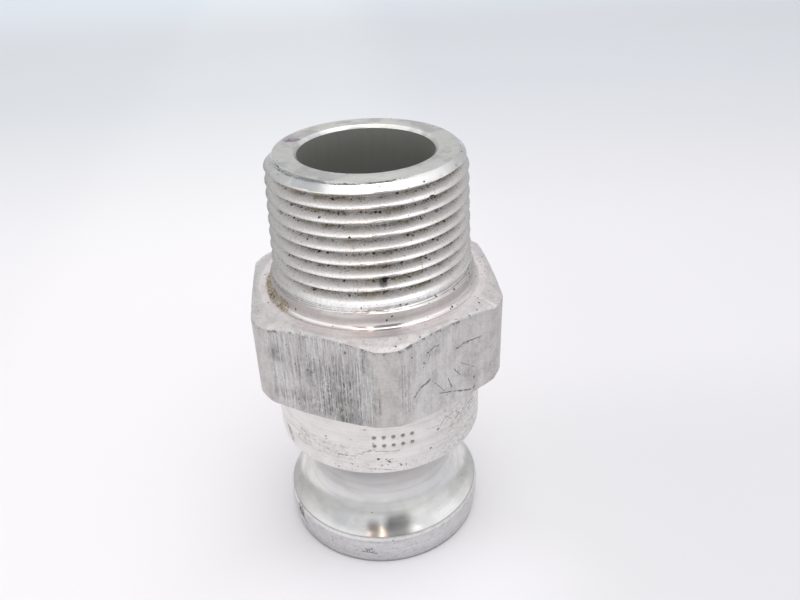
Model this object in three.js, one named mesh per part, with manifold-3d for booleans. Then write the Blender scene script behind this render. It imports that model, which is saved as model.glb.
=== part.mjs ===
// Male camlock adapter with a tapered male pipe thread: one turned and milled aluminium body.
// Millimetres, +Z up, origin at the centre of the gasket face that the adapter stands on.
// From the bottom up: cam lip, concave cam groove, collar, hexagon, neck, pipe thread.
import * as THREE from 'three';
import { mergeVertices } from 'three/addons/utils/BufferGeometryUtils.js';
import Module from 'manifold-3d';

// ---- driving dimensions ----
const LENGTH = 74.2;              // gasket face to threaded end face
const BORE_RADIUS = 11.0;
const BORE_BEVEL = 0.5;           // 45 degree bevel at both mouths of the bore

const CAM_RADIUS = 18.62;         // lip and collar, the two lands either side of the cam groove
const BASE_RADIUS = 18.1;         // the lip tapers in to this at the gasket face
const LIP_TAPER_HEIGHT = 3.4;     // top of the lead-in taper
const LIP_TOP = 5.85;             // upper edge of the lip's straight land
const LIP_CREST_RADIUS = 18.18;   // where the small bevel above the lip meets the groove

const GROOVE_MIN_RADIUS = 13.46;  // waist of the groove
const GROOVE_ARC_RADIUS = 9.0;
const GROOVE_HEIGHT = 14.46;      // height of the waist
const SHOULDER_ROUND = 0.57;      // round between the groove and the collar

const HEX_BOTTOM = 35.2;
const HEX_TOP = 51.4;
const HEX_ACROSS_FLATS = 41.28;   // 1 5/8 inch
const HEX_TURNED_RADIUS = 22.8;   // the corners are turned off at this radius
const HEX_FACE_RADIUS = 20.1;     // the flat ring on each end of the hexagon reaches this far
const HEX_CHAMFER_DROP = 0.9;     // fall of the shallow chamfer between that ring and the corners

const NECK_RADIUS = 17.3;
const NECK_TOP = 53.9;
const NECK_STEP = 0.4;            // height of the small cone from the neck up to the thread
const NECK_FILLET = 0.9;

// 1 inch taper pipe thread: 11.5 turns per inch, 1 in 16 on the diameter, 60 degree flanks
const PITCH = 25.4 / 11.5;
const TAPER = 1 / 32;             // growth of the radius per millimetre down from the end face
const CREST_RADIUS = 16.3;        // crest radius at the end face
const THREAD_DEPTH = 0.8 * PITCH;
const FLANK_SLOPE = Math.tan(Math.PI / 6);
const ROOT_FLAT = 0.033 * PITCH;
const CUTTER_CLEARANCE = 0.04;    // how far the cutter stands proud of the crests
const RUN_OUT_HEIGHT = 54.245;    // height at which the groove has run out to nothing
const RUN_OUT_ANGLE = -97.5 * Math.PI / 180;
const RUN_OUT_TURNS = 0.75;       // length of the fading part
const THREAD_TURNS = 9.65;        // turns from the run-out to above the end face
const END_FACE_RADIUS = 14.8;
const END_CHAMFER_HEIGHT = 1.25;

const SEGMENTS = 48;              // facets around the body, and cutter steps per turn
const FILLET_STEPS = 3;
const ROUND_STEPS = 2;
const GROOVE_STEPS = 10;

const crestRadiusAt = (z) => CREST_RADIUS + (LENGTH - z) * TAPER;

// Points along an arc from angle a0 to a1, both ends included; x is the radius, y the height.
function arc(centreX, centreY, radius, a0, a1, steps) {
  return Array.from({ length: steps + 1 }, (_, i) => {
    const a = a0 + (a1 - a0) * i / steps;
    return new THREE.Vector2(centreX + radius * Math.cos(a), centreY + radius * Math.sin(a));
  });
}

// The groove's concave arc, from the lip up to its tangent point with the shoulder round.
function camGroove() {
  const grooveX = GROOVE_MIN_RADIUS + GROOVE_ARC_RADIUS;
  const roundX = CAM_RADIUS - SHOULDER_ROUND;
  const reach = GROOVE_ARC_RADIUS + SHOULDER_ROUND;
  const roundY = GROOVE_HEIGHT + Math.sqrt(reach ** 2 - (grooveX - roundX) ** 2);
  const tangent = Math.atan2(roundY - GROOVE_HEIGHT, grooveX - roundX);
  const lipAngle = Math.acos((grooveX - LIP_CREST_RADIUS) / GROOVE_ARC_RADIUS);
  return [
    ...arc(grooveX, GROOVE_HEIGHT, GROOVE_ARC_RADIUS, Math.PI + lipAngle, Math.PI - tangent, GROOVE_STEPS),
    ...arc(roundX, roundY, SHOULDER_ROUND, -tangent, 0, ROUND_STEPS).slice(1),
  ];
}

// Closed half section of the whole body, the hexagon still a round disc.
function bodyProfile() {
  const point = (r, z) => new THREE.Vector2(r, z);
  const filletX = NECK_RADIUS + NECK_FILLET;
  const filletY = HEX_TOP + NECK_FILLET;
  const threadBottom = NECK_TOP + NECK_STEP;
  const threadTop = LENGTH - END_CHAMFER_HEIGHT;
  const profile = [
    point(BORE_RADIUS + BORE_BEVEL, 0),
    point(BASE_RADIUS, 0),
    point(CAM_RADIUS, LIP_TAPER_HEIGHT),
    point(CAM_RADIUS, LIP_TOP),
    ...camGroove(),
    point(CAM_RADIUS, HEX_BOTTOM),
    point(HEX_FACE_RADIUS, HEX_BOTTOM),
    point(HEX_TURNED_RADIUS, HEX_BOTTOM + HEX_CHAMFER_DROP),
    point(HEX_TURNED_RADIUS, HEX_TOP - HEX_CHAMFER_DROP),
    point(HEX_FACE_RADIUS, HEX_TOP),
    ...arc(filletX, filletY, NECK_FILLET, -Math.PI / 2, -Math.PI, FILLET_STEPS),
    point(NECK_RADIUS, NECK_TOP),
    point(crestRadiusAt(threadBottom), threadBottom),
    point(crestRadiusAt(threadTop), threadTop),
    point(END_FACE_RADIUS, LENGTH),
    point(BORE_RADIUS + BORE_BEVEL, LENGTH),
    point(BORE_RADIUS, LENGTH - BORE_BEVEL),
    point(BORE_RADIUS, BORE_BEVEL),
  ];
  return [...profile, profile[0].clone()];
}

function turnedBody() {
  return new THREE.LatheGeometry(bodyProfile(), SEGMENTS).rotateX(Math.PI / 2);
}

// Hexagonal prism with a corner facing -Y; only the hexagon disc reaches outside it.
function hexagonPrism() {
  const cornerRadius = HEX_ACROSS_FLATS / 2 / Math.cos(Math.PI / 6);
  return new THREE.CylinderGeometry(cornerRadius, cornerRadius, 2 * LENGTH, 6)
    .rotateX(Math.PI / 2)
    .translate(0, 0, LENGTH / 2);
}

// The thread groove as a solid: a straight V bar bent along the tapering helix. The bar's x is
// the radial distance from the root, y runs along the axis and z is the angle back from the top.
function threadCutter() {
  const reach = THREAD_DEPTH + CUTTER_CLEARANCE;
  const rootHalf = ROOT_FLAT / 2;
  const outerHalf = rootHalf + reach * FLANK_SLOPE;
  const section = new THREE.Shape([
    new THREE.Vector2(0, -rootHalf),
    new THREE.Vector2(reach, -outerHalf),
    new THREE.Vector2(reach, outerHalf),
    new THREE.Vector2(0, rootHalf),
  ]);
  const steps = Math.round(THREAD_TURNS * SEGMENTS);
  const sweep = steps * 2 * Math.PI / SEGMENTS;
  const bar = new THREE.ExtrudeGeometry(section, { depth: sweep, steps, bevelEnabled: false });
  const vertices = bar.getAttribute('position');
  for (let i = 0; i < vertices.count; i++) {
    const turns = (sweep - vertices.getZ(i)) / (2 * Math.PI);
    const centre = RUN_OUT_HEIGHT + turns * PITCH;
    const depth = THREAD_DEPTH * Math.min(1, turns / RUN_OUT_TURNS);
    const lift = CUTTER_CLEARANCE * (1 - Math.min(1, turns / RUN_OUT_TURNS));
    const radius = crestRadiusAt(centre) - depth + lift + vertices.getX(i);
    const angle = RUN_OUT_ANGLE + turns * 2 * Math.PI;
    vertices.setXYZ(
      i,
      radius * Math.cos(angle),
      radius * Math.sin(angle),
      centre + vertices.getY(i),
    );
  }
  return bar;
}

const wasm = await Module();
wasm.setup();

function toSolid(geometry) {
  const bare = geometry.clone();
  bare.deleteAttribute('normal');
  bare.deleteAttribute('uv');
  const merged = mergeVertices(bare, 1e-4);
  return new wasm.Manifold(new wasm.Mesh({
    numProp: 3,
    vertProperties: new Float32Array(merged.getAttribute('position').array),
    triVerts: new Uint32Array(merged.index.array),
  }));
}

function toGeometry(solid) {
  const mesh = solid.getMesh();
  const geometry = new THREE.BufferGeometry();
  geometry.setAttribute('position', new THREE.BufferAttribute(mesh.vertProperties, 3));
  geometry.setIndex(new THREE.BufferAttribute(mesh.triVerts, 1));
  geometry.computeVertexNormals();
  return geometry;
}

function adapterBody() {
  const solid = toSolid(turnedBody())
    .intersect(toSolid(hexagonPrism()))
    .subtract(toSolid(threadCutter()));
  const aluminium = new THREE.MeshStandardMaterial({ color: 0xc4c4c1, roughness: 0.34, metalness: 1 });
  const mesh = new THREE.Mesh(toGeometry(solid), aluminium);
  mesh.name = 'adapter_body';
  return mesh;
}

const adapter = new THREE.Group();
adapter.add(adapterBody());

export default adapter;
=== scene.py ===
"""Looks of a one-piece aluminium male camlock adapter: cam end, collar, hexagon and pipe thread.

The body is one surface of rings stacked along the bore axis. The rings follow the turned profile,
bend to the hexagon's outline where the flats are, and climb as a helix through the thread.
Lengths are in millimetres and angles in radians until the vertices are written in metres.
"""
import itertools
import math

import bmesh
import bpy
import numpy as np
from mathutils import Matrix, Vector


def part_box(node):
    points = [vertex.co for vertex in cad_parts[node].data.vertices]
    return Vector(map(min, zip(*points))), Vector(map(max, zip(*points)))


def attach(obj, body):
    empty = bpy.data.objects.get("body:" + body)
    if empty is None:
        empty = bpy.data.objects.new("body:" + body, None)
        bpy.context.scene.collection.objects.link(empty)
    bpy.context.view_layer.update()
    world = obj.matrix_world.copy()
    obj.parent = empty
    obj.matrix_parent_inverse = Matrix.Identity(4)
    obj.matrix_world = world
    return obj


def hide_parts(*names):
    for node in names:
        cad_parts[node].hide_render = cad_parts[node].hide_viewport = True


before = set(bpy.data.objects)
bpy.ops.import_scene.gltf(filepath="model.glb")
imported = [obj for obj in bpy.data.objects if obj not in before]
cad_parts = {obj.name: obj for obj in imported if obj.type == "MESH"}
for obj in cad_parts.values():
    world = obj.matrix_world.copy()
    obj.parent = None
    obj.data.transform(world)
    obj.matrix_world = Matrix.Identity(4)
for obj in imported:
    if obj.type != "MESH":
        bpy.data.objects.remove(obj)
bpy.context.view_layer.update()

MM = 0.001
BASE_LOW, BASE_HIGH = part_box("adapter_body")
AXIS = (BASE_LOW + BASE_HIGH) / 2  # the bore axis passes through the middle of the box
FLOOR_Z = BASE_LOW.z

# ---- dimensions of the body, heights above the gasket face ----
LENGTH = (BASE_HIGH.z - BASE_LOW.z) / MM
BORE_RADIUS = 11.0
BORE_BEVEL = 0.5
CAM_RADIUS = 18.62
BASE_RADIUS = 18.1
LIP_TAPER_HEIGHT = 3.4
LIP_TOP = 5.85
LIP_CREST_RADIUS = 18.18
GROOVE_MIN_RADIUS = 13.46
GROOVE_ARC_RADIUS = 9.0
GROOVE_HEIGHT = 14.46
SHOULDER_ROUND = 0.57
HEX_BOTTOM = 35.2
HEX_TOP = 51.4
HEX_APOTHEM = 20.64
HEX_TURNED_RADIUS = 22.8
HEX_FACE_RADIUS = 20.1
HEX_CHAMFER_DROP = 0.9
HEX_CHAMFER_SLOPE = HEX_CHAMFER_DROP / (HEX_TURNED_RADIUS - HEX_FACE_RADIUS)
HEX_EDGE_EASE = 0.14
NECK_RADIUS = 17.3
NECK_TOP = 53.9
NECK_STEP = 0.4
NECK_FILLET = 0.9
PITCH = 25.4 / 11.5
TAPER = 1 / 32
CREST_RADIUS = 16.3
THREAD_DEPTH = 0.8 * PITCH
ROOT_HALF = 0.033 * PITCH / 2
CREST_EASE = 0.24
SEAM_FADE = 0.2  # radians over which dents die out at the mesh seam
DENT_REACH = 0.25  # how far a dent reaches down the flanks
WELD = 2e-6  # metres between vertices that become one
FLANK_SLOPE = math.tan(math.pi / 6)
RUN_OUT_HEIGHT = 54.245
RUN_OUT_ANGLE = math.radians(-97.5)
RUN_OUT_TURNS = 0.75
END_FACE_RADIUS = 14.8
END_CHAMFER_HEIGHT = 1.25


def new_object(name, data):
    """An object that holds the data, put in the scene."""
    made = bpy.data.objects.new(name, data)
    bpy.context.collection.objects.link(made)
    return made


# ---- camera ----
def make_camera():
    """The viewpoint is 114 mm in front of the axis and 114 mm above the base, tilted down."""
    data = bpy.data.cameras.new("camera")
    data.sensor_width = 36
    data.lens = 33.956
    data.clip_start = 0.01
    data.clip_end = 20
    camera = new_object("camera", data)
    place = Vector((-7.494, -114.335, 113.995)) * MM
    turn = (Matrix.Rotation(math.radians(-6), 4, "Z")
            @ Matrix.Rotation(math.radians(90 - 30.729), 4, "X")
            @ Matrix.Rotation(math.radians(-2.097), 4, "Z"))
    base = Vector((AXIS.x, AXIS.y, FLOOR_Z))
    camera.matrix_world = Matrix.Translation(base + place) @ turn
    bpy.context.scene.camera = camera


make_camera()


# ---- shape of the body ----
def column_angles():
    """Angles of the mesh columns, closer together at the edges of the hexagon's flats."""
    edge = math.acos(HEX_APOTHEM / HEX_TURNED_RADIUS)
    near, far = edge - math.radians(2), edge + math.radians(2)
    half = np.concatenate([
        np.linspace(0, near, 15, endpoint=False),
        np.linspace(near, far, 8, endpoint=False),
        np.linspace(far, math.pi / 6, 2, endpoint=False),
    ])
    sector = np.concatenate([half, [math.pi / 6], math.pi / 3 - half[:0:-1]])
    return np.concatenate([sector + k * math.pi / 3 for k in range(-3, 3)])


ANGLES = column_angles()
RANDOM = np.random.default_rng(20)


def wobble(waves):
    """Smooth random ripple round the axis, within about -1..1, from sines of whole wave counts."""
    total = np.zeros_like(ANGLES)
    for count in waves:
        total += RANDOM.normal() * np.sin(count * ANGLES + RANDOM.uniform(0, 2 * math.pi))
    return total / math.sqrt(len(waves))


def nicks(count, widths, depths):
    """Dents at random angles: each a smooth hollow of that width in degrees and depth."""
    total = np.zeros_like(ANGLES)
    for _ in range(count):
        away = np.angle(np.exp(1j * (ANGLES - RANDOM.uniform(0, 2 * math.pi))))
        width = math.radians(RANDOM.uniform(*widths))
        total = np.maximum(total, RANDOM.uniform(*depths) * np.exp(-(away / width) ** 2))
    return total


def hexagon_side():
    """Radius of the hexagon's outline at each column: flats, turned corners, soft edges between."""
    off = np.mod(ANGLES + math.pi / 6, math.pi / 3) - math.pi / 6
    flat = HEX_APOTHEM / np.cos(off)
    sharpness = 10.0
    return -np.log(np.exp(-sharpness * flat) + np.exp(-sharpness * HEX_TURNED_RADIUS)) / sharpness


def arc(centre_r, centre_z, radius, start, end, steps):
    """Points (radius, height) along an arc of the profile, both ends included."""
    angles = np.linspace(start, end, steps + 1)
    return [(centre_r + radius * math.cos(a), centre_z + radius * math.sin(a)) for a in angles]


def rounded(before, corner, after, radius, steps=3):
    """Points of a round of that radius where the line before-corner turns to corner-after."""
    p, c, q = (np.array(x, float) for x in (before, corner, after))
    u, v = (p - c) / np.linalg.norm(p - c), (q - c) / np.linalg.norm(q - c)
    half = math.acos(float(u @ v)) / 2
    reach = radius / math.tan(half)
    centre = c + (u + v) / np.linalg.norm(u + v) * radius / math.sin(half)
    a, b = c + u * reach - centre, c + v * reach - centre
    sweep = math.pi - 2 * half
    points = []
    for t in np.linspace(0, 1, steps + 1):
        w = (a * math.sin((1 - t) * sweep) + b * math.sin(t * sweep)) / math.sin(sweep)
        points.append(tuple(centre + w))
    return points


def cam_end():
    """Profile from the gasket face to the underside of the hexagon, as (material, points)."""
    foot, taper = (BASE_RADIUS, 0), (CAM_RADIUS, LIP_TAPER_HEIGHT)
    land = (CAM_RADIUS, LIP_TOP)
    groove_r = GROOVE_MIN_RADIUS + GROOVE_ARC_RADIUS
    round_r = CAM_RADIUS - SHOULDER_ROUND
    reach = GROOVE_ARC_RADIUS + SHOULDER_ROUND
    round_z = GROOVE_HEIGHT + math.sqrt(reach ** 2 - (groove_r - round_r) ** 2)
    tangent = math.atan2(round_z - GROOVE_HEIGHT, groove_r - round_r)
    lip_angle = math.acos((groove_r - LIP_CREST_RADIUS) / GROOVE_ARC_RADIUS)
    groove = arc(groove_r, GROOVE_HEIGHT, GROOVE_ARC_RADIUS,
                 math.pi + lip_angle, math.pi - tangent, 26)
    crest = groove[0]
    shoulder = arc(round_r, round_z, SHOULDER_ROUND, -tangent, 0, 5)
    inner = (BORE_RADIUS + BORE_BEVEL, 0)
    lip = (rounded(inner, foot, taper, 0.15) + rounded(foot, taper, land, 0.3)
           + rounded(taper, land, crest, 0.15) + rounded(land, crest, groove[1], 0.08, 2))
    collar = shoulder[1:] + [(CAM_RADIUS, z) for z in np.linspace(round_z, HEX_BOTTOM, 20)[1:]]
    return [("lip", lip), ("groove", groove[1:] + shoulder[:1]), ("collar", collar)]


def hexagon_rings(side):
    """Rings of the hexagon: its underside, shallow chamfers that meet the flats, and its top."""
    fall = HEX_CHAMFER_SLOPE * np.clip(side - HEX_FACE_RADIUS, 0, None)
    inset, drop = 0.3 * HEX_EDGE_EASE, HEX_EDGE_EASE * HEX_CHAMFER_SLOPE
    ragged = [0.035 * wobble(range(20, 90, 7)) + nicks(26, (0.4, 1.3), (0.03, 0.16))
              for _ in range(2)]
    low, high = HEX_BOTTOM + fall + ragged[0], HEX_TOP - fall - ragged[1]
    underside = [(CAM_RADIUS + 0.7, HEX_BOTTOM), (HEX_FACE_RADIUS, HEX_BOTTOM),
                 (side - HEX_EDGE_EASE, low - drop)]
    walls = [(side - inset, low + inset), (side, low + HEX_EDGE_EASE)]
    for t in np.linspace(0, 1, 9)[1:-1]:
        walls.append((side, (low + HEX_EDGE_EASE) * (1 - t) + (high - HEX_EDGE_EASE) * t))
    walls += [(side, high - HEX_EDGE_EASE), (side - inset, high - inset)]
    fillet = arc(NECK_RADIUS + NECK_FILLET, HEX_TOP + NECK_FILLET, NECK_FILLET,
                 -math.pi / 2, -math.pi, 6)
    top = [(side - HEX_EDGE_EASE, high + drop), (HEX_FACE_RADIUS, HEX_TOP), fillet[0]]
    return [("hexagon_end", underside), ("flats", walls), ("hexagon_end", top),
            ("neck", fillet[1:] + [(NECK_RADIUS, NECK_TOP)])]


def end_and_bore():
    """Profile from the rim of the end face, through the bore, back to the gasket face."""
    mouth, soft = BORE_RADIUS + BORE_BEVEL, 0.06
    rim, brim, last = (END_FACE_RADIUS, LENGTH), (mouth, LENGTH), (mouth, 0)
    wall_top, wall_low = (BORE_RADIUS, LENGTH - BORE_BEVEL), (BORE_RADIUS, BORE_BEVEL)
    face = [rim, (END_FACE_RADIUS - 2 * soft, LENGTH), ((END_FACE_RADIUS + mouth) / 2, LENGTH)]
    bevel = rounded(rim, brim, wall_top, soft, 2) + rounded(brim, wall_top, wall_low, soft, 2)
    wall = [(BORE_RADIUS, z) for z in np.linspace(LENGTH, 0, 16)[1:-1]]
    foot = rounded(wall_top, wall_low, last, soft, 2)
    return [("end_face", face + bevel), ("bore", wall + foot), ("lip", [last])]


def crest_radius(z):
    """Radius of the thread's crests, which widen away from the end face."""
    return CREST_RADIUS + (LENGTH - z) * TAPER


def thread_offsets():
    """Offsets from a groove's centre line to the mesh rows of one pitch, upwards from its root."""
    half = PITCH / 2
    up = np.array([ROOT_HALF, 0.3, 0.6, 0.8, 0.93, 1.02])
    return np.concatenate([[0.0], up, [half], PITCH - up[::-1]])


def thread_grid():
    """Heights, radii and groove depths of the thread's rows, and how many rows make one pitch."""
    offsets = thread_offsets()
    rows = len(offsets)
    turns = int((LENGTH - NECK_TOP) / PITCH) + 4  # with two spare below and one above
    climb = PITCH * (ANGLES - RUN_OUT_ANGLE) / (2 * math.pi)
    threaded_top = LENGTH - END_CHAMFER_HEIGHT
    outline_z = [NECK_TOP, NECK_TOP + NECK_STEP, threaded_top, LENGTH]
    outline_r = [NECK_RADIUS, crest_radius(outline_z[1]), crest_radius(threaded_top),
                 END_FACE_RADIUS]
    from_seam = np.minimum(ANGLES - ANGLES[0], ANGLES[-1] - ANGLES)
    seam_fade = np.clip(from_seam / SEAM_FADE, 0, 1)
    dents = [seam_fade * (0.02 + 0.012 * wobble(range(15, 120, 9))
                          + nicks(12, (0.4, 1.8), (0.03, 0.2)))
             for _ in range(turns + 2)]
    heights, radii, depths = [], [], []
    for n in range(-2, turns - 2):
        for offset in offsets:
            z = RUN_OUT_HEIGHT + climb + n * PITCH + offset
            near = n + (1 if offset > PITCH / 2 else 0)
            from_root = abs(offset - PITCH * (near - n))
            progress = (climb / PITCH + near) / RUN_OUT_TURNS
            depth = THREAD_DEPTH * np.clip(progress, 0, 1)
            cut = depth - max(0.0, from_root - ROOT_HALF) / FLANK_SLOPE
            outline = np.interp(z, outline_z, outline_r)
            dented = outline - dents[n + 2] * np.exp(-np.clip(cut, 0, None) / DENT_REACH)
            groove = crest_radius(z) - cut
            eased = (dented + groove - np.sqrt((dented - groove) ** 2 + CREST_EASE ** 2)) / 2
            radius = np.where(depth > 0, eased, dented)
            radius = np.where(z <= NECK_TOP, NECK_RADIUS, radius)
            radius = np.where(z >= LENGTH, END_FACE_RADIUS, radius)
            heights.append(np.clip(z, NECK_TOP, LENGTH))
            radii.append(radius)
            depths.append(np.clip(cut / THREAD_DEPTH, 0, 1))
    return np.array(heights), np.array(radii), np.array(depths), rows


PUNCH_HEIGHTS = (28.7, 30.5)
PUNCH_ANGLES = [math.radians(a) for a in (-98, -93, -88, -83, -78)]
PUNCH_RADIUS = 0.42
PUNCH_DEPTH = 0.32
PUNCH_MARGINS = (0.08, 1.2)  # of the finer mesh round the marks: angle, height


def punch_marks(bm):
    """Two rows of round punch marks in the front of the collar, on a finer patch of the mesh."""
    turn, rise = PUNCH_MARGINS
    first, last = PUNCH_ANGLES[0] - turn, PUNCH_ANGLES[-1] + turn
    low, high = PUNCH_HEIGHTS[0] - rise, PUNCH_HEIGHTS[-1] + rise

    def in_patch(co):
        angle, height = math.atan2(co.y - AXIS.y, co.x - AXIS.x), (co.z - FLOOR_Z) / MM
        return first < angle < last and low < height < high

    collar = MATERIAL_ORDER.index("collar")
    patch = [face for face in bm.faces
             if face.material_index == collar and all(in_patch(v.co) for v in face.verts)]
    edges = list({edge for face in patch for edge in face.edges})
    bmesh.ops.subdivide_edges(bm, edges=edges, cuts=4, use_grid_fill=True)
    for v in bm.verts:
        x, y, z = (v.co.x - AXIS.x) / MM, (v.co.y - AXIS.y) / MM, (v.co.z - FLOOR_Z) / MM
        radius, angle = math.hypot(x, y), math.atan2(y, x)
        if not (in_patch(v.co) and CAM_RADIUS - 0.1 < radius < CAM_RADIUS + 0.01):
            continue
        depth = 0.0
        for centre, row in itertools.product(PUNCH_ANGLES, PUNCH_HEIGHTS):
            away = math.hypot((angle - centre) * CAM_RADIUS, z - row) / PUNCH_RADIUS
            if away < 1:
                depth = max(depth, PUNCH_DEPTH * (1 - away ** 2))
        scale = (CAM_RADIUS - depth) / radius
        v.co.x, v.co.y = AXIS.x + x * scale * MM, AXIS.y + y * scale * MM


MATERIAL_ORDER = ["lip", "groove", "collar", "hexagon_end", "flats", "neck", "thread", "chamfer",
                  "end_face", "bore"]


def build_body():
    """Stack the rings into one closed surface, with a material for each part of the profile."""
    columns = len(ANGLES)
    points, depth_values, faces, face_materials = [], [], [], []

    def add_ring(radius, height, depth=0.0):
        start = len(points)
        r, z, d = (np.broadcast_to(value, columns) for value in (radius, height, depth))
        points.extend(zip(r * np.cos(ANGLES), r * np.sin(ANGLES), z))
        depth_values.extend(d)
        return start

    def bridge(low, high, material, shift=0):
        """Quads between two rings. The last column meets the first `shift` points on, which is a
        pitch of rings further up the helix, or is left open where shift is None."""
        index = MATERIAL_ORDER.index(material)
        for i in range(columns - 1):
            faces.append((low + i, low + i + 1, high + i + 1, high + i))
        if shift is not None:
            faces.append((low + columns - 1, low + shift, high + shift, high + columns - 1))
        face_materials.extend([index] * (columns - 1 + (shift is not None)))

    def stack(parts):
        """Join the rings of (material, rings) parts in turn, and give the first and last ring."""
        rings = [(add_ring(*ring), material) for material, part in parts for ring in part]
        for (low, _), (high, material) in itertools.pairwise(rings):
            bridge(low, high, material)
        return rings[0][0], rings[-1][0]

    first, _ = stack(cam_end() + hexagon_rings(hexagon_side()))
    heights, radii, depths, rows = thread_grid()
    thread = [add_ring(r, z, d) for r, z, d in zip(radii, heights, depths)]
    for k in range(len(thread) - 1):
        closed = rows * columns if k + rows + 1 < len(thread) else None
        bridge(thread[k], thread[k + 1], "thread", closed)
    _, last = stack(end_and_bore())
    bridge(last, first, "lip")

    mesh = bpy.data.meshes.new("adapter_body_skin")
    coordinates = np.array(points) * MM + np.array((AXIS.x, AXIS.y, FLOOR_Z))
    mesh.from_pydata(coordinates.tolist(), [], faces)
    depth = mesh.attributes.new("groove_depth", "FLOAT", "POINT")
    depth.data.foreach_set("value", np.array(depth_values))
    mesh.polygons.foreach_set("material_index", face_materials)
    bm = bmesh.new()
    bm.from_mesh(mesh)
    bmesh.ops.remove_doubles(bm, verts=bm.verts, dist=WELD)
    punch_marks(bm)
    for face in bm.faces:
        if face.calc_center_median().z > FLOOR_Z + (LENGTH - END_CHAMFER_HEIGHT + 0.02) * MM:
            if face.material_index == MATERIAL_ORDER.index("thread"):
                face.material_index = MATERIAL_ORDER.index("chamfer")
    bmesh.ops.recalc_face_normals(bm, faces=bm.faces)
    bm.to_mesh(mesh)
    bm.free()
    mesh.shade_smooth()
    mesh.set_sharp_from_angle(angle=math.radians(32))
    return new_object("adapter_body_skin", mesh)


body = build_body()


# ---- materials ----
GRIME = (0.035, 0.032, 0.028)
OLIVE = (0.20, 0.16, 0.085)
DIRT = (GRIME, 0.7, 0.1)  # colour, roughness and metalness of a stain
SMUT = (GRIME, 0.6, 0.2)
BORE_METALNESS = 0.55


class Nodes:
    """A node tree, and short ways to add nodes to it."""

    def __init__(self, tree):
        self.tree = tree

    def add(self, kind, inputs=(), **settings):
        node = self.tree.nodes.new(kind)
        for key, value in settings.items():
            setattr(node, key, value)
        for key, value in dict(inputs).items():
            self.feed(node.inputs[key], value)
        return node

    def feed(self, socket, value):
        if isinstance(value, bpy.types.NodeSocket):
            self.tree.links.new(value, socket)
        else:
            socket.default_value = value


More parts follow.
